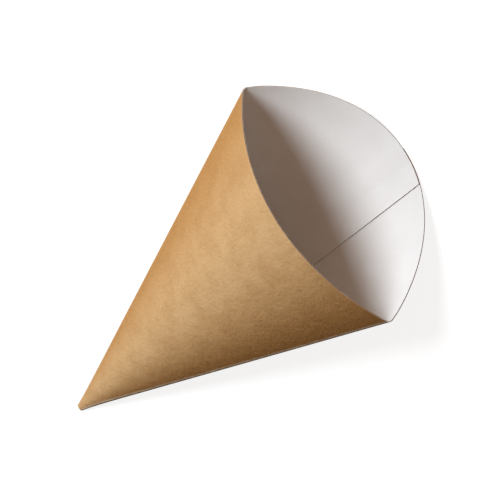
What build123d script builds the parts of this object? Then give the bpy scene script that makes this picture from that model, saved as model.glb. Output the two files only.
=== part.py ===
from build123d import *
import os
from math import acos, asin, atan, cos, degrees, pi, sin
import numpy as np

# Sizes of the glued blank lying flat, measured from the point where its two side creases would meet
CREASE_LENGTH = 180.0     # along each side crease, to the front rim
FLAT_WIDTH = 125.0        # between the creases at the ends of the front rim
FRONT_LENGTH = 171.0      # to the middle of the front rim
FRONT_FULLNESS = 0.5      # how far the front rim swells beyond a parabola, between its middle and its ends
TONGUE_LENGTH = 203.0     # to the middle of the rounded tongue at the back
TONGUE_FULLNESS = -2.0    # the same for the tongue, which is a little pointed
SHOULDER = 0.6            # how much further up the crease the tongue starts than the front rim
CORNER_DROP = 1.2         # how much of each shoulder's corner is rounded away
CORNER_LENGTH = 2.5       # how far along the tongue that rounding reaches
TIP_CUT = 5.8             # how much is cut off the tip

# The board, its folds and the glued lap in the middle of the back
BOARD = 0.45              # thickness of the paperboard
FOLD_RADIUS = 1.6         # inside radius of the creases once they are opened
LAP_WIDTH = 16.0          # how far the two glued edges overlap
FLAP_REACH = 14.6         # how far the inner flap's free edge lies beyond the centre line
FLAP_SHARE = 0.6          # near the tip the flap edges keep to this share of the panel's half width

# How far the cone is popped open: front to back, a crease's length away from the tip
MOUTH_OPENING = 50.6

# Width, at the tongue's end, of the strip along the back that its weight presses flat where it lies
REST_WIDTH = 10.0
REST_TRIM = 0.01          # how much of that strip is shaved off to leave it exactly level

# Proportions of the pressed tip: fold radius as a share of the room, layers and air where the hollow ends
TIP_ROUNDING = 0.75
TIP_LAYERS = 4.5

# How finely the curves are drawn
ROWS = 14
CROWDING = 1.5            # above 1, the rows lie closer together towards the tip
SETTLE = 12
POINT_COUNT = {"left back": 13, "lap": 5, "resting lap": 5, "right back": 13, "right fold": 7, "front": 25,
               "left fold": 7}

FLAT_ANGLE = 2 * asin(FLAT_WIDTH / 2 / CREASE_LENGTH)


def rise_of(cone_angle):
    """Angle between a panel's middle line and the plane of the creases, when it is bent to this cone."""
    turn = FLAT_ANGLE / 2 / sin(cone_angle)
    half_chord = asin(sin(cone_angle) * sin(turn))
    return cone_angle - acos(min(1.0, cos(cone_angle) / cos(half_chord)))


def solve_cone_angle():
    """Half angle of the round cone that a panel follows, from fully round to nearly flat, by halving."""
    wanted = asin(min(1.0, MOUTH_OPENING / 2 / CREASE_LENGTH))
    narrow = asin(FLAT_ANGLE / pi)
    wide = pi / 2
    for _ in range(60):
        middle = (narrow + wide) / 2
        if rise_of(middle) > wanted:
            narrow = middle
        else:
            wide = middle
    return narrow


CONE_ANGLE = solve_cone_angle()
SINE, COSINE = sin(CONE_ANGLE), cos(CONE_ANGLE)
RISE = rise_of(CONE_ANGLE)

# The cone lies on the middle line of its back, which runs along -Y from the tip to the tongue
CENTRE_LINE = np.array([0, -cos(RISE), sin(RISE)])
CREASE_PLANE = np.array([0, sin(RISE), cos(RISE)])


def mirrored(vectors):
    """The back's vectors, reflected in the plane of the creases to give the front's."""
    return vectors - 2 * (vectors @ CREASE_PLANE)[..., None] * CREASE_PLANE


def ray(angle, front):
    """Unit vector along the board at this flat angle from the centre line."""
    turn = angle / SINE
    height = SINE * COSINE * (1 - np.cos(turn))
    back = np.stack([SINE * np.sin(turn), -COSINE**2 - SINE**2 * np.cos(turn), height], -1)
    return mirrored(back) if front else back


def outward(angle, front):
    """Unit vector out of the board's outer face there."""
    turn = angle / SINE
    forward = SINE * COSINE * (1 - np.cos(turn))
    back = np.stack([COSINE * np.sin(turn), forward, -COSINE**2 * np.cos(turn) - SINE**2], -1)
    return mirrored(back) if front else back


REST_ANGLE = REST_WIDTH / 2 / TONGUE_LENGTH
REST_SLOPE = float(ray(np.array([REST_ANGLE]), False)[0, 2])


def pressed(angle, front):
    """How far the floor presses the board in there, as a share of the length from the tip."""
    back = np.maximum(0, REST_SLOPE - ray(angle, False)[..., 2])
    return 0 * back if front else back


SLIMNESS = float(ray(np.zeros(1), True)[0] @ CREASE_PLANE)
HOLLOW_START = max(TIP_CUT + 2 * BOARD, TIP_LAYERS * BOARD / 2 / SLIMNESS)


def fold_radius(length):
    """Outside radius of the fold, which gets sharper where the tip leaves it little room."""
    room = TIP_ROUNDING * SLIMNESS * length
    return room * np.tanh((FOLD_RADIUS + BOARD) / room)


def fold_miss(angle, ratio):
    """How far the fold's centre lies from the plane of the creases."""
    return ray(angle, True) @ CREASE_PLANE - ratio * (outward(angle, True) @ CREASE_PLANE)


def fold_angle(length):
    """Flat angle at which the round fold takes over from the panel, by Newton's steps."""
    ratio = fold_radius(length) / length
    angle = np.full_like(ratio, FLAT_ANGLE / 2) * (1 - ratio / SLIMNESS / 2)
    nudge = 1e-5
    for _ in range(6):
        slope = (fold_miss(angle + nudge, ratio) - fold_miss(angle - nudge, ratio)) / (2 * nudge)
        angle = angle - fold_miss(angle, ratio) / slope
    return angle


def seam_angle(offset, length):
    """Flat angle of a lap edge that runs beside the centre line and is drawn in towards the tip."""
    limit = FLAP_SHARE * fold_angle(length)
    angle = offset / length
    return angle / (1 + np.abs(angle / limit) ** 3) ** (1 / 3)


def left_crease(length):
    return -fold_angle(length)


def right_crease(length):
    return fold_angle(length)


def inner_flap_edge(length):
    return seam_angle(-FLAP_REACH, length)


def rest_edge(length):
    return np.full_like(length, -REST_ANGLE)


def outer_flap_edge(length):
    return seam_angle(LAP_WIDTH - FLAP_REACH, length)


def front_rim(angle):
    """Length of the board at this flat angle, from the tip point to the front rim."""
    share = (2 * angle / FLAT_ANGLE) ** 2
    bow = FRONT_LENGTH + (CREASE_LENGTH - FRONT_LENGTH) * share
    return bow + 4 * FRONT_FULLNESS * share * (1 - share)


def back_rim(angle):
    """The same for the tongue, with its rounded shoulders."""
    share = (2 * angle / FLAT_ANGLE) ** 2
    bow = TONGUE_LENGTH + (CREASE_LENGTH + SHOULDER - TONGUE_LENGTH) * share
    to_crease = (FLAT_ANGLE / 2 - np.abs(angle)) * CREASE_LENGTH
    corner = CORNER_DROP * np.exp(-to_crease / CORNER_LENGTH)
    return bow + 4 * TONGUE_FULLNESS * share * (1 - share) - corner


def ease(share):
    """A step from 0 to 1 that starts and ends level."""
    return share * share * (3 - 2 * share)


def level(share):
    return 0 * share


class Panel:
    """A stretch of the front or the back, between two lines on the flat board."""

    def __init__(self, front, start, end, sunk=level):
        self.front = front
        self.start = start
        self.end = end
        self.sunk = sunk

    def angle(self, share, length):
        return (1 - share) * self.start(length) + share * self.end(length)

    def rim(self, share, length):
        angle = self.angle(share, length)
        return front_rim(angle) if self.front else back_rim(angle)

    def points(self, share, length, depth):
        """Points this deep in the board, whose outer face is sunk by a share of its thickness."""
        angle = self.angle(share, length)
        under = depth + BOARD * self.sunk(share) + pressed(angle, self.front) * length
        return ray(angle, self.front) * length[:, None] - outward(angle, self.front) * under[:, None]


class Fold:
    """A round crease between the front and the back: an arc about a centre in the plane of the creases."""

    def __init__(self, crease, from_front):
        self.crease = crease
        self.from_front = from_front

    def backward(self, share):
        return share if self.from_front else 1 - share

    def rim(self, share, length):
        angle = fold_angle(length)
        back = ease(self.backward(share))
        return front_rim(angle) * (1 - back) + back_rim(angle) * back

    def points(self, share, length, depth):
        angle = self.crease(length)
        back = self.backward(share)[:, None]
        start, end = outward(angle, True), outward(angle, False)
        sweep = np.arccos((start * end).sum(-1))[:, None]
        spoke = (start * np.sin((1 - back) * sweep) + end * np.sin(back * sweep)) / np.sin(sweep)
        centre = ray(angle, True) * length[:, None] - start * fold_radius(length)[:, None]
        return centre + spoke * (fold_radius(length) - depth)[:, None]


# Once round the cone. The lap is two stretches, the second of which is where the cone rests. Right of it
# the board is sunk by its own thickness, to pass under the outer flap
STRETCHES = {
    "left back": Panel(False, left_crease, inner_flap_edge),
    "lap": Panel(False, inner_flap_edge, rest_edge),
    "resting lap": Panel(False, rest_edge, outer_flap_edge),
    "right back": Panel(False, outer_flap_edge, right_crease, sunk=lambda share: ease(1 - share)),
    "right fold": Fold(right_crease, from_front=False),
    "front": Panel(True, right_crease, left_crease),
    "left fold": Fold(left_crease, from_front=True),
}
TWO_LAYERS = ("lap", "resting lap")


def shares(name):
    """Steps across a stretch, closer together where it meets a crease."""
    even = np.linspace(0, 1, POINT_COUNT[name])
    if name == "left back":
        return 1 - np.cos(pi / 2 * even)
    if name == "right back":
        return np.sin(pi / 2 * even)
    if name == "front":
        return (1 - np.cos(pi * even)) / 2
    return even


def row(name, depth, height, way_up):
    """Points across a stretch, part of the way up from a level cut near the tip to the rim."""
    stretch = STRETCHES[name]
    share = shares(name)
    top = np.full_like(share, CREASE_LENGTH)
    bottom = np.full_like(share, height)
    for _ in range(SETTLE):
        top = stretch.rim(share, top)
        bottom = bottom + height - stretch.points(share, bottom, depth) @ CENTRE_LINE
    length = bottom + (top - bottom) * way_up**CROWDING
    return [tuple(point) for point in stretch.points(share, length, depth)]


def ring(depths, height, way_up):
    """A closed wire round one face of the board, with a short edge where it steps over a flap."""
    rows = [row(name, depths[name], height, way_up) for name in STRETCHES]
    edges = []
    for points, following in zip(rows, rows[1:] + rows[:1]):
        edges.append(Edge.make_spline(points))
        if (Vector(following[0]) - Vector(points[-1])).length > BOARD / 2:
            edges.append(Edge.make_line(points[-1], following[0]))
    return Wire(edges)


def skin(depths, height):
    """One face of the board, from its level cut near the tip to the rim, and the cap over that cut."""
    rings = [ring(depths, height, step / ROWS) for step in range(ROWS + 1)]
    return Shell.make_loft(rings).faces() + [Face(rings[0])]


def cut_edge(name, outer_depth, inner_depth):
    """The strip of cut edge along the rim of one layer of board."""
    outer = Edge.make_spline(row(name, outer_depth, TIP_CUT, 1))
    inner = Edge.make_spline(row(name, inner_depth, TIP_CUT, 1))
    return Face.make_surface_from_curves(outer, inner)


def folded_cone():
    """The whole folded and glued board as one solid."""
    outside = {name: 0 for name in STRETCHES}
    inside = {name: BOARD for name in STRETCHES}
    inside.update({name: 2 * BOARD for name in TWO_LAYERS})
    faces = skin(outside, TIP_CUT) + skin(inside, HOLLOW_START)
    faces += [cut_edge(name, 0, BOARD) for name in STRETCHES]
    faces += [cut_edge(name, BOARD, 2 * BOARD) for name in TWO_LAYERS]
    return Solid(Shell(faces))


# The origin is on the surface that the cone lies on, half way from the tongue to the cut tip
tip_end = TIP_CUT / cos(RISE) * cos(2 * RISE)
lying = folded_cone().rotate(Axis.X, degrees(atan(REST_SLOPE)))
lying = lying.translate((0, (TONGUE_LENGTH + tip_end) / 2, -REST_TRIM))
floor = Pos(0, 0, -BOARD) * Box(2 * FLAT_WIDTH, 2 * TONGUE_LENGTH, 2 * BOARD)
cone = (lying - floor).solid()

os.makedirs("parts", exist_ok=True)
export_step(cone, "parts/folded_cone.step")
print("valid", cone.is_valid, "volume", round(cone.volume, 1), "faces", len(cone.faces()))
print("box", cone.bounding_box())
print("cone half angle", round(CONE_ANGLE * 180 / pi, 2), "rise", round(RISE * 180 / pi, 2))
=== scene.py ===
# %% [markdown]
# A paper cone cup, lying on its back
#
# The real object is one die-cut sheet of board, brown kraft outside and white inside. It is creased down
# both sides, glued to itself with a lap in the middle of the back, and popped open. With nothing to hold
# it up, it lies on its back, with the mouth towards -Y and the tip towards +Y.

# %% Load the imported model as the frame
from collections import namedtuple
from math import acos, asin, atan, cos, pi, sin, radians
import bmesh
import bpy
import numpy as np
from mathutils import Euler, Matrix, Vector


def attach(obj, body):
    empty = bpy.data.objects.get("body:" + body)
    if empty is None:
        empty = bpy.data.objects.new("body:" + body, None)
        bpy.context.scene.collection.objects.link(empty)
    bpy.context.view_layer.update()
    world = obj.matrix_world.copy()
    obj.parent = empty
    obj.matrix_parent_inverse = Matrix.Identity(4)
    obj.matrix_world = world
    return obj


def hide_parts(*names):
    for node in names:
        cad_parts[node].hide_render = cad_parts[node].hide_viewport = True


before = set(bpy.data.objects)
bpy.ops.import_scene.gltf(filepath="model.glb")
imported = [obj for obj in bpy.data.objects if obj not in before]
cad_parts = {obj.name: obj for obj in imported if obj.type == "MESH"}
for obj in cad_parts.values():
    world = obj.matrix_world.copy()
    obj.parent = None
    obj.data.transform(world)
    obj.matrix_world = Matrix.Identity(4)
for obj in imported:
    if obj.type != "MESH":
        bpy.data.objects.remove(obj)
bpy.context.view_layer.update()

# %% [markdown]
# The sizes of the glued blank
#
# A mesh could be pushed and pulled until it looks like the cone, but board bends and doesn't stretch, and
# an eye sees it when a paper thing breaks that rule. So the sheet is worked out flat first. Lengths run
# from the point where the two side creases would meet, and angles run sideways from the middle of a panel.
# They are the sizes of the solid that this piece stands for.

# %% Sizes, in metres
MM = 0.001
CREASE_LENGTH = 180 * MM       # along each side crease, to the front rim
FLAT_WIDTH = 125 * MM          # between the creases at the ends of the front rim
FRONT_LENGTH = 171 * MM        # to the middle of the front rim
FRONT_FULLNESS = 0.5 * MM      # how far the front rim swells beyond a parabola
TONGUE_LENGTH = 203 * MM       # to the middle of the rounded tongue at the back
TONGUE_FULLNESS = -2 * MM      # the same for the tongue, which is a little pointed
SHOULDER = 0.6 * MM            # how much further up the crease the tongue starts than the front rim
CORNER_DROP = 1.2 * MM         # how much of each shoulder's corner is rounded away
CORNER_LENGTH = 2.5 * MM       # how far along the tongue that rounding reaches
TIP_CUT = 5.8 * MM             # how much is cut off the tip
MOUTH_OPENING = 50.6 * MM      # front to back, a crease's length away from the tip
BOARD = 0.45 * MM              # thickness of the paperboard
FOLD_RADIUS = 1.6 * MM         # inside radius of the opened creases
LAP_WIDTH = 16 * MM            # how far the two glued edges overlap
FLAP_REACH = 14.6 * MM         # how far the inner flap's free edge lies beyond the centre line
FLAP_SHARE = 0.6               # near the tip the flap edges keep to this share of the half width
REST_WIDTH = 10 * MM           # strip along the back that its weight presses flat, at the tongue's end
REST_TRIM = 0.01 * MM          # shaved off that strip to leave it exactly level
TIP_ROUNDING = 0.75            # fold radius near the tip, as a share of the room there
TIP_LAYERS = 4.5               # layers and air across the tip where the hollow starts

FLAT_ANGLE = 2 * asin(FLAT_WIDTH / 2 / CREASE_LENGTH)
print("the panels are wedges of", round(FLAT_ANGLE * 180 / pi, 1), "degrees")

# %% [markdown]
# Popping the cone open
#
# Squeezing the side creases bends each flat wedge into a patch of a round cone. The more open the mouth,
# the sharper that round cone. A cloth simulation could find its shape, but slowly and with crumples. The
# half angle of the round cone is all that is missing. It can't be written as a formula, so it is found by
# halving: try the middle of a range, keep the half that holds the answer, and repeat.

# %% Find the round cone that the panels follow
HALVINGS = 60                  # enough to use up every digit that the computer keeps


def rise_of(cone_angle):
    """Angle between a panel's middle line and the creases' plane: the cone's half angle, less the angle
    whose cosine is cos(cone angle) over cos(half the angle between the creases)."""
    turn = FLAT_ANGLE / 2 / sin(cone_angle)
    half_chord = asin(sin(cone_angle) * sin(turn))
    return cone_angle - acos(min(1.0, cos(cone_angle) / cos(half_chord)))


narrow, wide = asin(FLAT_ANGLE / pi), pi / 2
for _ in range(HALVINGS):
    middle = (narrow + wide) / 2
    if rise_of(middle) > asin(MOUTH_OPENING / 2 / CREASE_LENGTH):
        narrow = middle
    else:
        wide = middle

CONE_ANGLE = narrow
SINE, COSINE = sin(CONE_ANGLE), cos(CONE_ANGLE)
RISE = rise_of(CONE_ANGLE)
CENTRE_LINE = np.array([0, -cos(RISE), sin(RISE)])
CREASE_PLANE = np.array([0, sin(RISE), cos(RISE)])
print("cone half angle", round(CONE_ANGLE * 180 / pi, 2), "rise", round(RISE * 180 / pi, 2))

# %% [markdown]
# From the flat sheet to space
#
# A point of the flat sheet is a length and an angle. Bent, it lies at the same length along a straight
# line of the cone, so one unit vector for each angle is all that the shape needs. A second one, square to
# the sheet, gives the board its thickness. The front is the back seen in a mirror laid in the plane of
# the creases, so it takes no formulas of its own.


# %% The two unit vectors
def mirrored(vectors):
    """Each vector, less twice its part that is square to the plane of the creases."""
    return vectors - 2 * (vectors @ CREASE_PLANE)[..., None] * CREASE_PLANE


def ray(angle, front):
    """Along the board. With s and c the sine and cosine of the cone's half angle, and t the flat angle
    over s: (s sin t, -c c - s s cos t, s c (1 - cos t)), mirrored for the front."""
    turn = angle / SINE
    height = SINE * COSINE * (1 - np.cos(turn))
    back = np.stack([SINE * np.sin(turn), -COSINE**2 - SINE**2 * np.cos(turn), height], -1)
    return mirrored(back) if front else back


def outward(angle, front):
    """Out of the board: (c sin t, s c (1 - cos t), -c c cos t - s s), mirrored for the front."""
    turn = angle / SINE
    forward = SINE * COSINE * (1 - np.cos(turn))
    back = np.stack([COSINE * np.sin(turn), forward, -COSINE**2 * np.cos(turn) - SINE**2], -1)
    return mirrored(back) if front else back


print("the middle line of the front runs along", ray(np.zeros(1), True)[0].round(3))

# %% [markdown]
# Where the floor and the tip change the sheet
#
# A round back would touch the floor along one line. The cone's weight presses a narrow strip of it flat.
# At the tip the layers meet, and the hollow between them starts only where there is room for it.

# %% The strip that it rests on, and where the hollow starts
REST_ANGLE = REST_WIDTH / 2 / TONGUE_LENGTH
REST_SLOPE = float(ray(np.array([REST_ANGLE]), False)[0, 2])


def pressed(angle, front):
    """How far the floor presses the back in, as a share of the length: slope less height, if above 0."""
    back = np.maximum(0, REST_SLOPE - ray(angle, False)[..., 2])
    return 0 * back if front else back


# How far the middle of the front lies from the plane of the creases, as a share of the length
SLIMNESS = float(ray(np.zeros(1), True)[0] @ CREASE_PLANE)
HOLLOW_START = max(TIP_CUT + 2 * BOARD, TIP_LAYERS * BOARD / 2 / SLIMNESS)
print("the hollow starts", round(HOLLOW_START / MM, 1), "mm from the tip")

# %% [markdown]
# Creases, flap edges and rims
#
# Board can't fold to a knife edge: it goes round a small arc. A bevel on a sharp edge could make one, but
# near the tip there is no room for an arc of that size, so here its radius depends on the length, and a
# hyperbolic tangent makes that limit smooth. The rims are curves drawn on the flat sheet, as the cutting
# die would have them.

# %% Where the panels and the flaps end
NEWTON_STEPS = 6               # each step about doubles the correct digits
NUDGE = 1e-5                   # flat angle over which a slope is measured


def fold_radius(length):
    """Outside radius of a crease: room times tanh(radius / room), the room growing with the length."""
    room = TIP_ROUNDING * SLIMNESS * length
    return room * np.tanh((FOLD_RADIUS + BOARD) / room)


def fold_miss(angle, ratio):
    """How far the arc's centre lies from the plane of the creases, as a share of the length."""
    return ray(angle, True) @ CREASE_PLANE - ratio * (outward(angle, True) @ CREASE_PLANE)


def fold_angle(length):
    """Flat angle where the arc takes over from the panel: the root of fold_miss, by Newton's steps."""
    ratio = fold_radius(length) / length
    angle = FLAT_ANGLE / 2 * (1 - ratio / SLIMNESS / 2)
    for _ in range(NEWTON_STEPS):
        slope = (fold_miss(angle + NUDGE, ratio) - fold_miss(angle - NUDGE, ratio)) / (2 * NUDGE)
        angle = angle - fold_miss(angle, ratio) / slope
    return angle


def seam_angle(offset, length):
    """Flat angle of a flap edge: a = offset / length, softly limited to l: a / (1 + |a/l|^3)^(1/3)."""
    limit = FLAP_SHARE * fold_angle(length)
    angle = offset / length
    return angle / (1 + np.abs(angle / limit) ** 3) ** (1 / 3)


AT_RIM = np.array([CREASE_LENGTH])
print("at the rim each fold starts", np.degrees(fold_angle(AT_RIM)).round(2)[0], "degrees from the middle")


# %% Where the sheet ends
def front_rim(angle):
    """Length to the front rim: with w = (2 angle / flat angle)^2, middle + (end - middle) w, and a
    fullness of 4 w (1 - w)."""
    share = (2 * angle / FLAT_ANGLE) ** 2
    bow = FRONT_LENGTH + (CREASE_LENGTH - FRONT_LENGTH) * share
    return bow + 4 * FRONT_FULLNESS * share * (1 - share)


def back_rim(angle):
    """The same for the tongue, less a corner that fades exponentially away from the crease."""
    share = (2 * angle / FLAT_ANGLE) ** 2
    bow = TONGUE_LENGTH + (CREASE_LENGTH + SHOULDER - TONGUE_LENGTH) * share
    to_crease = (FLAT_ANGLE / 2 - np.abs(angle)) * CREASE_LENGTH
    corner = CORNER_DROP * np.exp(-to_crease / CORNER_LENGTH)
    return bow + 4 * TONGUE_FULLNESS * share * (1 - share) - corner


HALF_WAY = FLAT_ANGLE / 4
print("half way to the crease, in mm: front rim", round(front_rim(HALF_WAY) / MM, 1),
      "tongue", round(back_rim(HALF_WAY) / MM, 1))

# %% [markdown]
# The lines on the sheet
#
# Five lines run from the tip to the rim and divide the sheet: both creases, both edges of the glued lap
# and, across the lap, one side of the strip that it rests on. A flap's edge keeps its distance from the
# centre line, so its angle changes with the length. Each line is therefore a function of the length.


# %% The lines
def left_crease(length):
    """Where the left crease's arc starts, on either panel."""
    return -fold_angle(length)


def right_crease(length):
    """The same for the right crease."""
    return fold_angle(length)


def inner_flap_edge(length):
    """Free edge of the flap inside, which reaches past the centre line."""
    return seam_angle(-FLAP_REACH, length)


def rest_edge(length):
    """The side of the flat strip that crosses the lap, at one angle all the way."""
    return np.full_like(length, -REST_ANGLE)


def outer_flap_edge(length):
    """Free edge of the flap outside."""
    return seam_angle(LAP_WIDTH - FLAP_REACH, length)


def across(share, start, end, length):
    """Flat angle part of the way from one line to the next: (1 - share) start + share end."""
    return (1 - share) * start(length) + share * end(length)


for line in (left_crease, inner_flap_edge, rest_edge, outer_flap_edge, right_crease):
    print(line.__name__, "at the rim, in degrees", np.degrees(line(AT_RIM)).round(2)[0])

# %% [markdown]
# Points on a panel and round a crease
#
# Between two lines, a share across and a share of the way up are enough to find a point at any depth in
# the board. At the lap the right half passes under the left one, so it is sunk by one thickness there and
# comes back to the surface at the crease.


# %% Panel and crease
def panel_points(share, length, depth, front, start, end, sunk):
    """Ray times length, less the outward vector times the depth."""
    angle = across(share, start, end, length)
    under = depth + sunk + pressed(angle, front) * length
    return ray(angle, front) * length[..., None] - outward(angle, front) * under[..., None]


def crease_points(share, length, depth, crease, from_front):
    """An arc about a centre in the plane of the creases: the spoke turns evenly from the front's outward
    vector to the back's."""
    angle = crease(length)
    back = (share if from_front else 1 - share)[..., None]
    start, end = outward(angle, True), outward(angle, False)
    sweep = np.arccos((start * end).sum(-1))[..., None]
    spoke = (start * np.sin((1 - back) * sweep) + end * np.sin(back * sweep)) / np.sin(sweep)
    radius = fold_radius(length)[..., None]
    return ray(angle, True) * length[..., None] - start * radius + spoke * (radius - depth[..., None])


fold_middle = crease_points(np.full(1, 0.5), AT_RIM, np.zeros(1), right_crease, True)
print("width over both folds at the rim, in mm", round(2 * fold_middle[0, 0] / MM, 1))

# %% [markdown]
# Seven stretches, once round the cone
#
# Going round, the sheet is: left back, lap (in two parts, of which the second lies on the floor), right
# back, right crease, front, left crease. One row of a table describes each stretch, so that one function
# can work all of them out. Columns of points crowd together towards the creases, where the surface turns
# fastest. Spreading them evenly would take far more points for an equally smooth fold.

# %% The table of stretches
Stretch = namedtuple("Stretch", "name columns crowd front start end sinks")
# For a fold, front says whether it starts at the front
STRETCHES = [
    Stretch("left back", 64, "start", False, left_crease, inner_flap_edge, False),
    Stretch("lap", 22, "", False, inner_flap_edge, rest_edge, False),
    Stretch("resting lap", 15, "", False, rest_edge, outer_flap_edge, False),
    Stretch("right back", 72, "end", False, outer_flap_edge, right_crease, True),
    Stretch("right fold", 13, "", False, right_crease, right_crease, False),
    Stretch("front", 121, "both", True, right_crease, left_crease, False),
    Stretch("left fold", 13, "", True, left_crease, left_crease, False),
]
ROWS = 84
CROWDING = 1.5                 # above 1, the rows lie closer together towards the tip


def crosswise(count, crowd):
    """Shares from 0 to 1, closer together at the start, the end or both: cosines and sines of even
    steps."""
    even = np.linspace(0, 1, count)
    if crowd == "start":
        return 1 - np.cos(pi / 2 * even)
    if crowd == "end":
        return np.sin(pi / 2 * even)
    if crowd == "both":
        return (1 - np.cos(pi * even)) / 2
    return even


print("columns", sum(stretch.columns for stretch in STRETCHES), "rows", ROWS)

# %% [markdown]
# One skin of the board
#
# Every stretch gives a grid of points: rows run from a level cut near the tip to the rim, columns run
# across. Laid side by side, the grids close into a ring, and where two neighbours differ in depth the ring
# steps over a flap's edge by itself. A Solidify modifier could thicken a single surface, but at the lap it
# would push the two layers into each other. The flat place of every point is kept too, as a UV map, so
# that the fibres of the paper follow the sheet and not the room.

# %% One stretch as a grid
SETTLING = 12                  # rounds in which the ends of the columns settle


def ease(share):
    """A step from 0 to 1 that starts and ends level: w w (3 - 2 w)."""
    return share * share * (3 - 2 * share)


def flat_angle(stretch, share, length):
    """Where the stretch lies on the flat sheet. The front is in the middle, and each half of the back lies
    beyond its crease: the whole flat angle less the angle from the back's own middle line."""
    if stretch.name == "right fold":
        return share * fold_angle(length) + (1 - share) * (FLAT_ANGLE - fold_angle(length))
    if stretch.name == "left fold":
        return -(1 - share) * fold_angle(length) - share * (FLAT_ANGLE - fold_angle(length))
    angle = across(share, stretch.start, stretch.end, length)
    if stretch.front:
        return angle
    return FLAT_ANGLE - angle if stretch.name == "right back" else -FLAT_ANGLE - angle


def stretch_grid(stretch, depth, height):
    """Points, flat angles, lengths and distances from the rim over one stretch. A column's top is where
    the rim formula gives its own length back, and its bottom lies this high along the centre line."""
    share = crosswise(stretch.columns, stretch.crowd)
    sunk = BOARD * ease(1 - share) if stretch.sinks else 0 * share
    is_fold = stretch.name.endswith("fold")

    def points(length):
        """The columns' points at these lengths."""
        rows = np.broadcast_to(share, length.shape)
        deep = np.broadcast_to(depth + 0 * share, length.shape)
        if is_fold:
            return crease_points(rows, length, deep, stretch.start, stretch.front)
        lines = stretch.front, stretch.start, stretch.end
        return panel_points(rows, length, deep, *lines, np.broadcast_to(sunk, length.shape))

    def rim(length):
        """Length to the rim, in the direction that each column has at this length."""
        if not is_fold:
            angle = across(share, stretch.start, stretch.end, length)
            return front_rim(angle) if stretch.front else back_rim(angle)
        angle = fold_angle(length)
        back = ease(share if stretch.front else 1 - share)
        return front_rim(angle) * (1 - back) + back_rim(angle) * back

    top = np.full(stretch.columns, CREASE_LENGTH)
    bottom = np.full(stretch.columns, height)
    for _ in range(SETTLING):
        top = rim(top)
        bottom = bottom + height - points(bottom) @ CENTRE_LINE
    way_up = np.linspace(0, 1, ROWS)[:, None] ** CROWDING
    length = bottom + (top - bottom) * way_up
    return points(length), flat_angle(stretch, share, length), length, top - length


# %% The outer and the inner skin
Skin = namedtuple("Skin", "points angle length from_rim")


def skin(depths, height):
    """Stacks the grids side by side, each stretch at its own depth."""
    grids = [stretch_grid(stretch, depths[stretch.name], height) for stretch in STRETCHES]
    return Skin(*[np.concatenate(part, axis=1) for part in zip(*grids)])


outer_depths = {stretch.name: 0.0 for stretch in STRETCHES}
inner_depths = {stretch.name: BOARD for stretch in STRETCHES}
inner_depths["lap"] = inner_depths["resting lap"] = 2 * BOARD
outer = skin(outer_depths, TIP_CUT)
inner = skin(inner_depths, HOLLOW_START)
middle_row = skin({stretch.name: BOARD for stretch in STRETCHES}, TIP_CUT).points[-1]
print("outer skin", outer.points.shape, "inner skin", inner.points.shape)

# %% [markdown]
# The whole sheet as one closed mesh
#
# The outer skin, the inner skin, the cut edge between them round the mouth and a cap over each end make
# one closed surface. Two skins that only lie close together would leave a slit at the rim, where the board
# is seen from its edge. The middle of that edge gets a line of its own where the two layers of the lap
# meet. Faces get one of four finishes: kraft face, white face, cut rim, or edge of a glued flap.

# %% Number the points and list the faces
around = outer.points.shape[1]


def ring_faces(first, second):
    """Four-sided faces between two closed rows of point numbers, the second above the first."""
    return np.stack([first, np.roll(first, -1), np.roll(second, -1), second], -1)


def skin_faces(start):
    """The faces of one skin, whose points are numbered row by row from this number."""
    numbers = start + np.arange(ROWS * around).reshape(ROWS, around)
    return np.concatenate([ring_faces(low, high) for low, high in zip(numbers[:-1], numbers[1:])]), numbers


def last_column(name):
    """Number of the last column of a stretch, where its step to the next one is."""
    names = [stretch.name for stretch in STRETCHES]
    return sum(stretch.columns for stretch in STRETCHES[: names.index(name) + 1]) - 1


outer_faces, outer_numbers = skin_faces(0)
inner_faces, inner_numbers = skin_faces(outer_numbers.size)
middle_numbers = inner_numbers[-1, -1] + 1 + np.arange(around)

column = np.arange(around)
in_lap = (column > last_column("left back")) & (column <= last_column("resting lap"))
rim_numbers = np.where(in_lap, middle_numbers, inner_numbers[-1])
quads = np.concatenate([
    outer_faces,
    inner_faces[:, ::-1],
    ring_faces(outer_numbers[-1], rim_numbers),
    ring_faces(rim_numbers, inner_numbers[-1]),
])
print("faces before closing", len(quads), "columns in the lap", int(in_lap.sum()))

# %% Give each face its finish
KRAFT, WHITE, CUT, FLAP = 0, 1, 2, 3   # the order in which the sheet gets its materials
outer_finish = np.full((ROWS - 1, around), KRAFT)
outer_finish[:, last_column("resting lap")] = FLAP
inner_finish = np.full((ROWS - 1, around), WHITE)
inner_finish[:, last_column("left back")] = FLAP
finish = np.concatenate([outer_finish.ravel(), inner_finish.ravel(), np.full(2 * around, CUT)])
print("faces of each finish", np.bincount(finish).tolist())

# %% [markdown]
# What each point of the mesh knows
#
# A mesh can hold one number for each point, which a material can read by name. Here they say where on the
# sheet the point lies, how near a crease or the rim it is, and how deep in the board. The rubbed rim and
# the painted shade and highlights by the creases and panels could be drawn by hand instead, but a drawn
# mark doesn't move when a size changes, and these numbers do.


# %% Numbers for the points
def attribute(mesh, name, values):
    """One number for each point, which a material can read by this name."""
    mesh.attributes.new(name, "FLOAT", "POINT").data.foreach_set("value", values.astype(np.float32))


def whole(part):
    """One quantity over both skins and the middle line of the cut edge."""
    first, second = getattr(outer, part), getattr(inner, part)
    rest = first.shape[2:]
    return np.concatenate([first.reshape(-1, *rest), second.reshape(-1, *rest), first[-1]])


def whole_depth():
    """How deep in the board each point lies, in thicknesses: 0 outside, 1 inside, 2 inside the lap."""
    outside = np.zeros((ROWS, around))
    inside = outside + 1 + in_lap
    return np.concatenate([outside.ravel(), inside.ravel(), outside[-1] + 1])


print("points in all", len(whole("length")), "deepest, in thicknesses", whole_depth().max())

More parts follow.
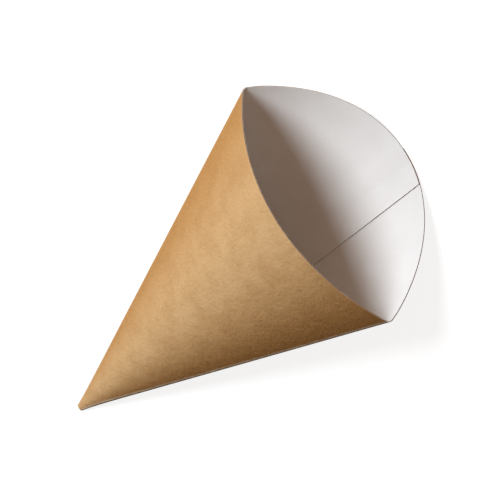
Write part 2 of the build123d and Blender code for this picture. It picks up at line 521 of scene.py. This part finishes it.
# %% [markdown]
# Into Blender, laid on the floor
#
# The sheet was worked out with the back's middle line along the Y axis. The object could be turned and
# moved by its own location and rotation. Instead the points are turned so that the flat strip lies level
# and moved so that its middle is at the origin, before they go into a mesh. The object itself stays
# unturned, in the same frame as the solid.


# %% Lay it down and build it
def laid_down(points):
    """Turns the points about X by the strip's slope, moves the middle to the origin, and lifts whatever
    would be under the floor up to it."""
    turn = atan(REST_SLOPE)
    across_floor = points[:, 1] * cos(turn) - points[:, 2] * sin(turn)
    height = points[:, 1] * sin(turn) + points[:, 2] * cos(turn)
    middle = (TONGUE_LENGTH + TIP_CUT / cos(RISE) * cos(2 * RISE)) / 2
    return np.stack([points[:, 0], across_floor + middle, np.maximum(height - REST_TRIM, 0)], -1)


def build_sheet():
    """Makes the mesh, closes it at both ends and stores, for each point: its flat place, its distance from
    the rim in mm, its depth, how far it is from a fold's middle (1 where the flat panel starts), and how
    far from a crease towards a panel's middle (0 to 1)."""
    points = whole("points")
    points[middle_numbers] = middle_row
    points = laid_down(points)
    caps = [outer_numbers[0][::-1].tolist(), inner_numbers[0].tolist()]
    mesh = bpy.data.meshes.new("folded_cone_sheet")
    mesh.from_pydata(points.tolist(), [], quads.tolist() + caps)
    mesh.polygons.foreach_set("material_index", np.append(finish, [CUT, WHITE]).astype(np.int32))
    angle, length = whole("angle"), whole("length")
    fold_reach = FLAT_ANGLE / 2 - fold_angle(length)
    attribute(mesh, "flat_x", length * np.sin(angle))
    attribute(mesh, "flat_y", length * np.cos(angle))
    attribute(mesh, "from_rim", whole("from_rim") / MM)
    attribute(mesh, "board_depth", whole_depth())
    attribute(mesh, "from_crease", np.abs(np.abs(angle) - FLAT_ANGLE / 2) / fold_reach)
    attribute(mesh, "to_middle", np.abs(np.abs(angle) / (FLAT_ANGLE / 2) - 1))
    return mesh


sheet_mesh = build_sheet()
print("points", len(sheet_mesh.vertices))

# %% [markdown]
# Smooth faces, crisp edges
#
# The panels and creases shade smoothly, but a cut edge is a sharp corner. Any edge where the surface turns
# by more than a set angle is marked sharp. A bevel would catch a line of light there, but on board this
# thin it couldn't be seen. The sheet's flat place also becomes a UV map, a decimetre a unit.

# %% Smooth, sharpen and unwrap
SHARP_FROM = radians(40)
MERGE_WITHIN = 0.002 * MM
FLAT_UNIT = 100 * MM


def finish_sheet(mesh):
    """Merges the points that fall together where a flap's step has no height, and marks sharp edges."""
    work = bmesh.new()
    work.from_mesh(mesh)
    bmesh.ops.remove_doubles(work, verts=work.verts, dist=MERGE_WITHIN)
    open_edges = sum(not edge.is_manifold for edge in work.edges)
    volume = work.calc_volume(signed=True)
    work.to_mesh(mesh)
    work.free()
    mesh.shade_smooth()
    mesh.set_sharp_from_angle(angle=SHARP_FROM)
    print("open edges", open_edges, "volume in cm3", round(volume * 1e6, 2), "faces", len(mesh.polygons))


def unwrap(mesh):
    """Each corner of each face gets its point's flat place."""
    corners = np.empty(len(mesh.loops), np.int32)
    mesh.loops.foreach_get("vertex_index", corners)
    flat = [np.empty(len(mesh.vertices), np.float32) for _ in range(2)]
    for values, name in zip(flat, ("flat_x", "flat_y")):
        mesh.attributes[name].data.foreach_get("value", values)
    layer = mesh.uv_layers.new(name="flat_sheet")
    layer.data.foreach_set("uv", (np.stack(flat, -1)[corners] / FLAT_UNIT).ravel())


finish_sheet(sheet_mesh)
unwrap(sheet_mesh)
sheet = bpy.data.objects.new("folded_cone_sheet", sheet_mesh)
bpy.context.scene.collection.objects.link(sheet)

# %% [markdown]
# What every paper face shares
#
# Paper is a felt of fibres. Close up it shows short strokes that lie mostly along the way the sheet ran
# through the mill, soft clouds where the fibres are thicker, and a fine tooth that one feels more than
# sees. All three are needed by the brown face and by the white one, so they are made once, as a node group
# that reads the flat sheet and gives out masks. Each material then decides what to do with them.

# %% A node group: fibres, clouds and tooth
MILL_DIRECTION = radians(24)
FIBRE_SQUEEZE = (3.2, 1.0, 1.0)        # fibres are this much narrower than long


def link(tree, source, target):
    """Joins an output socket to an input socket."""
    tree.links.new(source, target)


def node(tree, kind, **settings):
    """A new node of this kind with its settings, and sockets by name where a setting names one."""
    made = tree.nodes.new(kind)
    for name, value in settings.items():
        if hasattr(made, name):
            setattr(made, name, value)
        else:
            made.inputs[name.replace("_", " ")].default_value = value
    return made


def build_paper_group():
    """Flat place in; fibre strokes, clouds and tooth out, each from 0 to 1 about a middle of a half."""
    group = bpy.data.node_groups.new("paper_felt", "ShaderNodeTree")
    for name in ("Fibre Scale", "Cloud Scale", "Tooth Scale"):
        group.interface.new_socket(name, in_out="INPUT", socket_type="NodeSocketFloat")
    for name in ("Fibres", "Clouds", "Tooth"):
        group.interface.new_socket(name, in_out="OUTPUT", socket_type="NodeSocketFloat")
    given, out = node(group, "NodeGroupInput"), node(group, "NodeGroupOutput")
    flat = node(group, "ShaderNodeUVMap", uv_map="flat_sheet").outputs["UV"]
    squeeze = node(group, "ShaderNodeMapping", Rotation=(0, 0, MILL_DIRECTION), Scale=FIBRE_SQUEEZE)
    link(group, flat, squeeze.inputs["Vector"])
    fibres = node(group, "ShaderNodeTexNoise", Detail=5.0, Roughness=0.62, Distortion=0.6)
    clouds = node(group, "ShaderNodeTexNoise", Detail=4.0, Roughness=0.55)
    tooth = node(group, "ShaderNodeTexNoise", Detail=6.0, Roughness=0.7)
    for texture, place, scale, result in ((fibres, squeeze.outputs["Vector"], "Fibre Scale", "Fibres"),
                                          (clouds, flat, "Cloud Scale", "Clouds"),
                                          (tooth, flat, "Tooth Scale", "Tooth")):
        link(group, place, texture.inputs["Vector"])
        link(group, given.outputs[scale], texture.inputs["Scale"])
        link(group, texture.outputs["Fac"], out.inputs[result])
    return group


paper_felt = build_paper_group()
print("group", paper_felt.name, "nodes", len(paper_felt.nodes))

# %% [markdown]
# A small kit for the finishes
#
# Every finish below is made in the same few steps: an empty shader, the felt's masks, a mask carried from
# one range to another, two colours mixed by a mask. They could be wired by hand in the shader editor, but
# a short function for each step keeps the finishes readable. Numbers that are the same all over a surface
# go straight onto the shader's sockets.

# %% Start a finish and read its masks
SHEEN = 0.06                   # uncoated paper has almost no gloss
EDGE_ROUGHNESS = 0.9


def new_finish(name, roughness):
    """A material with an empty Principled shader, almost without gloss."""
    material = bpy.data.materials.new(name)
    material.use_nodes = True
    tree = material.node_tree
    shader = tree.nodes["Principled BSDF"]
    shader.inputs["Roughness"].default_value = roughness
    shader.inputs["Specular IOR Level"].default_value = SHEEN
    return material, tree, shader


def felt(tree, fibre, cloud, tooth):
    """The felt group with its three scales: the larger, the finer."""
    made = node(tree, "ShaderNodeGroup", node_tree=paper_felt)
    made.inputs["Fibre Scale"].default_value = fibre
    made.inputs["Cloud Scale"].default_value = cloud
    made.inputs["Tooth Scale"].default_value = tooth
    return made


def stored(tree, name):
    """One of the numbers stored on the sheet's points."""
    return node(tree, "ShaderNodeAttribute", attribute_name=name).outputs["Fac"]


# %% Work with masks and colours
def spread(tree, source, low=0.0, high=1.0, to_low=0.0, to_high=1.0):
    """A mask carried from one range to another, and held at its ends."""
    made = node(tree, "ShaderNodeMapRange", interpolation_type="SMOOTHSTEP")
    link(tree, source, made.inputs["Value"])
    for name, value in (("From Min", low), ("From Max", high), ("To Min", to_low), ("To Max", to_high)):
        made.inputs[name].default_value = value
    return made.outputs["Result"]


def times(tree, first, second):
    """Two masks multiplied."""
    made = node(tree, "ShaderNodeMath", operation="MULTIPLY")
    link(tree, first, made.inputs[0])
    link(tree, second, made.inputs[1])
    return made.outputs[0]


def mixed(tree, mask, first, second):
    """Two colours mixed by a mask, each either given as a value or as another node's output."""
    made = node(tree, "ShaderNodeMix", data_type="RGBA")
    sockets = {socket.identifier: socket for socket in made.inputs}
    for socket, value in ((sockets["Factor_Float"], mask), (sockets["A_Color"], first),
                          (sockets["B_Color"], second)):
        if isinstance(value, bpy.types.NodeSocket):
            link(tree, value, socket)
        else:
            socket.default_value = value
    return {socket.identifier: socket for socket in made.outputs}["Result_Color"]


def relief(tree, shader, height, depth):
    """Fine relief that tilts the surface a little."""
    bump = node(tree, "ShaderNodeBump", Strength=1.0, Distance=depth)
    link(tree, height, bump.inputs["Height"])
    link(tree, bump.outputs["Normal"], shader.inputs["Normal"])


def dress(made):
    """Gives the sheet its next finish."""
    sheet.data.materials.append(made)
    print("finish", made.name, "nodes", len(made.node_tree.nodes))


# %% [markdown]
# The brown kraft face
#
# Unbleached kraft is a warm brown with darker and lighter fibres in it. The middle of each panel bulges and
# is handled most, so it is scuffed paler than the strips beside the creases. The rim is rubbed too. Along
# each fold runs a dark line, where the die pressed the board, with a rubbed pale line on each side of it.
# A picture of paper could be wrapped round the cone, but masks made from the sheet's own numbers put every
# mark where the fold or the rim really is. The colours are written as they should look under plain light.
# A range says from where to where a mask is read, and how strong the finish is at those two ends.

# %% Kraft face
# The first two colours are painted light: shade in the strips by the creases, a sheen in each panel's
# middle.
KRAFT_BROWN_SHADED = (0.50, 0.245, 0.075, 1)
KRAFT_PAINTED_SHEEN = (0.70, 0.445, 0.215, 1)
KRAFT_DARK = (0.40, 0.19, 0.050, 1)
KRAFT_PALE = (0.74, 0.51, 0.29, 1)
# Crease colours: a pale rubbed line that is partly painted highlight, and a dark line that is painted
# shade.
CREASE_RUB_HIGHLIGHT = (0.92, 0.74, 0.53, 1)
CREASE_SHADE = (0.28, 0.18, 0.09, 1)
KRAFT_ROUGHNESS = 0.78
COCKLE = 0.5 * MM                      # depth of the small dents in the board
SHADE_TO_SHEEN = (0.0, 0.95, 0.0, 1.0)          # from the crease to the panel's middle
KRAFT_CLOUDS = (0.36, 0.68, 0.0, 0.26)
PALE_FIBRES = (0.52, 0.70, 0.0, 0.55)
DARK_FIBRES = (0.46, 0.30, 0.0, 0.50)
RIM_RUB = (0.2, 1.0, 0.2, 0.0)         # mm from the rim
# The pale lines are rubbed kraft, painted stronger on the -X side as a highlight. The dark line is painted
# shade.
RUB_HIGHLIGHT_IN = (0.6, 1.0, 0.0, 1.0)    # from the fold's middle, with 1 where the flat panel starts
RUB_HIGHLIGHT_OUT = (1.0, 1.5, 1.0, 0.0)
SHADE_LINE = (0.3, 0.75, 0.7, 0.0)
HIGHLIGHT_SIDE = (-MM, MM, 1.0, 0.35)     # from the crease on the -X side to the other
RUB_HIGHLIGHT_BREAKS = (0.35, 0.55, 0.7, 1.0)    # how the fibres break up the pale lines


def crease_lines(tree, colour, fibres):
    """A painted dark line of shade along the very fold, and a rubbed pale line on each side of it, painted
    brighter on the -X side as a highlight and broken by the fibres.
    """
    distance = stored(tree, "from_crease")
    line = times(tree, spread(tree, distance, *RUB_HIGHLIGHT_IN), spread(tree, distance, *RUB_HIGHLIGHT_OUT))
    # Painted highlight: the pale lines are stronger on the -X side.
    rub = times(tree, spread(tree, stored(tree, "flat_x"), *HIGHLIGHT_SIDE), spread(tree, fibres, *RUB_HIGHLIGHT_BREAKS))
    lined = mixed(tree, times(tree, line, rub), colour, CREASE_RUB_HIGHLIGHT)
    # Painted shade along the middle of the fold.
    return mixed(tree, spread(tree, distance, *SHADE_LINE), lined, CREASE_SHADE)


def kraft_finish():
    """Panels with painted shade by the creases and a painted sheen in the middle, clouds, pale and dark
    fibres, a rubbed rim, painted crease lines of shade and highlight, and a cockled surface.
    """
    material, tree, shader = new_finish("kraft_face", KRAFT_ROUGHNESS)
    felted = felt(tree, fibre=85.0, cloud=9.0, tooth=30.0)
    fibres, clouds = felted.outputs["Fibres"], felted.outputs["Clouds"]
    # Painted shade by the creases, fading to a painted sheen in the middle of each panel.
    panel = mixed(tree, spread(tree, stored(tree, "to_middle"), *SHADE_TO_SHEEN), KRAFT_BROWN_SHADED, KRAFT_PAINTED_SHEEN)
    clouded = mixed(tree, spread(tree, clouds, *KRAFT_CLOUDS), panel, KRAFT_DARK)
    stroked = mixed(tree, spread(tree, fibres, *PALE_FIBRES), clouded, KRAFT_PALE)
    stroked = mixed(tree, spread(tree, fibres, *DARK_FIBRES), stroked, KRAFT_DARK)
    rubbed = mixed(tree, spread(tree, stored(tree, "from_rim"), *RIM_RUB), stroked, KRAFT_PALE)
    link(tree, crease_lines(tree, rubbed, fibres), shader.inputs["Base Color"])
    relief(tree, shader, felted.outputs["Tooth"], COCKLE)
    return material


dress(kraft_finish())

# %% [markdown]
# The white face
#
# The inside is a bleached layer: nearly white, matt, with the faintest clouds and fibres. A plain white
# would do from afar, but up close it would look like plastic.

# %% White face
WHITE_LAYER = (0.815, 0.82, 0.82, 1)
WHITE_SHADE = (0.75, 0.75, 0.745, 1)
WHITE_ROUGHNESS = 0.85
WHITE_TOOTH = 0.02 * MM
WHITE_CLOUDS = (0.35, 0.65, 0.0, 0.35)
WHITE_FIBRES = (0.5, 0.75, 0.0, 0.4)


def white_finish():
    """White, with faint clouds and fibres and a slight tooth."""
    material, tree, shader = new_finish("white_face", WHITE_ROUGHNESS)
    felted = felt(tree, fibre=60.0, cloud=7.0, tooth=75.0)
    clouds = spread(tree, felted.outputs["Clouds"], *WHITE_CLOUDS)
    fibres = spread(tree, felted.outputs["Fibres"], *WHITE_FIBRES)
    clouded = mixed(tree, clouds, WHITE_LAYER, WHITE_SHADE)
    link(tree, mixed(tree, fibres, clouded, WHITE_SHADE), shader.inputs["Base Color"])
    relief(tree, shader, felted.outputs["Tooth"], WHITE_TOOTH)
    return material


dress(white_finish())

# %% [markdown]
# The cut edge, and the edge of the glued flap
#
# The cut edge shows what lies between the faces: a brown core of pressed layers, and the white layer, which
# is about a third of the board. Faces of their own could carry each layer, but the depth stored on the
# points says as much, and its fraction starts again at the second layer of the lap. The edge of a glued
# flap is painted dark brown, a painted shade for the thin gap that the glue doesn't reach.

# %% Cut edge and flap edge
CORE_BROWN = (0.56, 0.46, 0.36, 1)
CORE_DARK = (0.42, 0.33, 0.24, 1)
# Painted shade: the glued flap's edge stands in a thin gap.
FLAP_EDGE_SHADE = (0.30, 0.24, 0.19, 1)
CORE_FIBRES = (0.35, 0.65, 0.0, 1.0)
LINER_FROM = (0.65, 0.75, 0.0, 1.0)    # share of the board's depth at which its white layer starts
JUST_UNDER = 0.001                     # keeps the inside face's depth from counting as a new layer


def cut_finish():
    """Brown core and white layer, told apart by the fraction of the depth."""
    material, tree, shader = new_finish("cut_edge", EDGE_ROUGHNESS)
    felted = felt(tree, fibre=200.0, cloud=60.0, tooth=300.0)
    core = mixed(tree, spread(tree, felted.outputs["Fibres"], *CORE_FIBRES), CORE_DARK, CORE_BROWN)
    shallow = node(tree, "ShaderNodeMath", operation="SUBTRACT")
    shallow.inputs[1].default_value = JUST_UNDER
    within = node(tree, "ShaderNodeMath", operation="FRACT")
    link(tree, stored(tree, "board_depth"), shallow.inputs[0])
    link(tree, shallow.outputs[0], within.inputs[0])
    lined = mixed(tree, spread(tree, within.outputs[0], *LINER_FROM), core, WHITE_SHADE)
    link(tree, lined, shader.inputs["Base Color"])
    return material


def flap_finish():
    """Plain dark brown, a painted shade for the gap under the edge, which is too thin to show more."""
    material, tree, shader = new_finish("flap_edge", EDGE_ROUGHNESS)
    shader.inputs["Base Color"].default_value = FLAP_EDGE_SHADE
    return material


dress(cut_finish())
dress(flap_finish())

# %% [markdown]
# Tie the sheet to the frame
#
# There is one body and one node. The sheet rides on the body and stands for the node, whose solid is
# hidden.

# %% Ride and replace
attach(sheet, "root")
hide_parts("folded_cone")
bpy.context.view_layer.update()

# %% [markdown]
# A pale floor
#
# The floor is a large disc under the cone. Its own colour is a middle grey, so that it throws little light
# up at the cone and takes a soft shadow. A white floor would look right too, but it would light the cone
# from below. So a glow is added that lifts the grey to white. Only rays that look at the floor see that
# glow, straight or in a mirror, so it lights nothing matt.

# %% Floor
FLOOR_RADIUS = 6.0
FLOOR_CORNERS = 96
FLOOR_DROP = 0.02 * MM         # keeps the floor just clear of the board that lies on it
FLOOR_COLOUR = (0.25, 0.25, 0.25, 1)
FLOOR_GLOW = 0.87
WHITE_LIGHT = (1, 1, 1, 1)


def floor_mesh():
    """A disc: corners at even angles round the middle."""
    angle = np.linspace(0, 2 * pi, FLOOR_CORNERS, endpoint=False)
    level = np.full(FLOOR_CORNERS, -FLOOR_DROP)
    ring = np.stack([FLOOR_RADIUS * np.cos(angle), FLOOR_RADIUS * np.sin(angle), level], -1)
    mesh = bpy.data.meshes.new("floor")
    mesh.from_pydata(ring.tolist(), [], [list(range(FLOOR_CORNERS))])
    return mesh


def looking(tree):
    """1 for rays that show what is behind: from the camera, mirrored, or passed through; else 0."""
    path = node(tree, "ShaderNodeLightPath")
    found = path.outputs["Is Camera Ray"]
    for kind in ("Is Glossy Ray", "Is Transmission Ray"):
        either = node(tree, "ShaderNodeMath", operation="MAXIMUM")
        link(tree, found, either.inputs[0])
        link(tree, path.outputs[kind], either.inputs[1])
        found = either.outputs[0]
    return found


def floor_finish():
    """Grey and matt, with the glow added on top."""
    material, tree, shader = new_finish("floor", EDGE_ROUGHNESS)
    shader.inputs["Base Color"].default_value = FLOOR_COLOUR
    shader.inputs["Specular IOR Level"].default_value = 0.0
    glow = node(tree, "ShaderNodeEmission", Color=WHITE_LIGHT)
    seen = node(tree, "ShaderNodeMath", operation="MULTIPLY")
    seen.inputs[1].default_value = FLOOR_GLOW
    both = node(tree, "ShaderNodeAddShader")
    link(tree, looking(tree), seen.inputs[0])
    link(tree, seen.outputs[0], glow.inputs["Strength"])
    link(tree, shader.outputs["BSDF"], both.inputs[0])
    link(tree, glow.outputs["Emission"], both.inputs[1])
    link(tree, both.outputs["Shader"], tree.nodes["Material Output"].inputs["Surface"])
    return material


floor = bpy.data.objects.new("floor", floor_mesh())
floor.data.materials.append(floor_finish())
bpy.context.scene.collection.objects.link(floor)
print("floor radius", FLOOR_RADIUS, "m, glow", FLOOR_GLOW)

# %% [markdown]
# Light
#
# One soft lamp stands high on the +X side of the cone. Its size sets how soft the shadow inside the mouth
# is. The world adds a low, warm fill, brightest from the side that the mouth faces, as if a brown table
# lay there. An even grey world would be simpler, but it would flatten the shading inside the mouth. Rays
# that look straight past the cone see white instead.

# %% Lamp
LAMP_TOWARDS = Vector((0.57, 0.01, 0.821)).normalized()
LAMP_DISTANCE = 1.1
LAMP_WIDTH = 0.62
LAMP_POWER = 13.5
LAMP_COLOUR = (0.955, 1.0, 1.04)


def make_lamp():
    """A round area lamp that looks at the origin."""
    light = bpy.data.lights.new("soft_lamp", "AREA")
    light.shape = "DISK"
    light.size = LAMP_WIDTH
    light.energy = LAMP_POWER
    light.color = LAMP_COLOUR
    lamp = bpy.data.objects.new("soft_lamp", light)
    lamp.location = LAMP_TOWARDS * LAMP_DISTANCE
    lamp.rotation_euler = LAMP_TOWARDS.to_track_quat("Z", "Y").to_euler()
    bpy.context.scene.collection.objects.link(lamp)


make_lamp()
print("lamp", round(asin(LAMP_TOWARDS.z) * 180 / pi), "degrees above the floor")

# %% World
FILL_FROM = Vector((0.1, -1.0, 0.15)).normalized()
FILL_NEAR = (0.40, 0.18, 0.055, 1)
FILL_FAR = (0.03, 0.02, 0.01, 1)


def make_world():
    """Two fill colours, mixed by how nearly a direction agrees with the one that the fill comes from."""
    world = bpy.data.worlds.new("studio")
    world.use_nodes = True
    tree = world.node_tree
    lit = tree.nodes["Background"]
    lit.inputs["Strength"].default_value = 1.0
    seen = node(tree, "ShaderNodeBackground", Color=WHITE_LIGHT, Strength=1.0)
    both = node(tree, "ShaderNodeMixShader")
    towards = node(tree, "ShaderNodeTexCoord")
    facing = node(tree, "ShaderNodeVectorMath", operation="DOT_PRODUCT")
    facing.inputs[1].default_value = FILL_FROM
    link(tree, towards.outputs["Generated"], facing.inputs[0])
    graded = mixed(tree, spread(tree, facing.outputs["Value"]), FILL_FAR, FILL_NEAR)
    link(tree, graded, lit.inputs["Color"])
    link(tree, looking(tree), both.inputs["Fac"])
    link(tree, lit.outputs["Background"], both.inputs[1])
    link(tree, seen.outputs["Background"], both.inputs[2])
    link(tree, both.outputs["Shader"], tree.nodes["World Output"].inputs["Surface"])
    return world


bpy.context.scene.world = make_world()
print("world", bpy.context.scene.world.name)

# %% [markdown]
# The camera
#
# The photograph looks down into the mouth from in front, with the camera rolled so that the tip points to
# the lower left. A long lens far away keeps the sides nearly parallel. A near, wide one would make the
# mouth look larger against the tip.

# %% Camera
CAMERA_PLACE = Vector((-361.9, -1054.66, 1650.75)) * MM
CAMERA_TURN = (-10.027, 32.461, -127.766)      # degrees about X, Y and Z
LENS = 354.08                                  # focal length in mm
SENSOR_WIDTH = 36                              # in mm too
NEAR_CLIP = 0.05
FAR_CLIP = 50

camera = bpy.data.objects.new("camera", bpy.data.cameras.new("camera"))
camera.location = CAMERA_PLACE
camera.rotation_euler = Euler([radians(turn) for turn in CAMERA_TURN])
camera.data.lens = LENS
camera.data.sensor_width = SENSOR_WIDTH
camera.data.clip_start = NEAR_CLIP
camera.data.clip_end = FAR_CLIP
bpy.context.scene.collection.objects.link(camera)
bpy.context.scene.camera = camera
bpy.context.scene.view_settings.view_transform = "Standard"
print("camera", round(CAMERA_PLACE.length, 2), "m away")
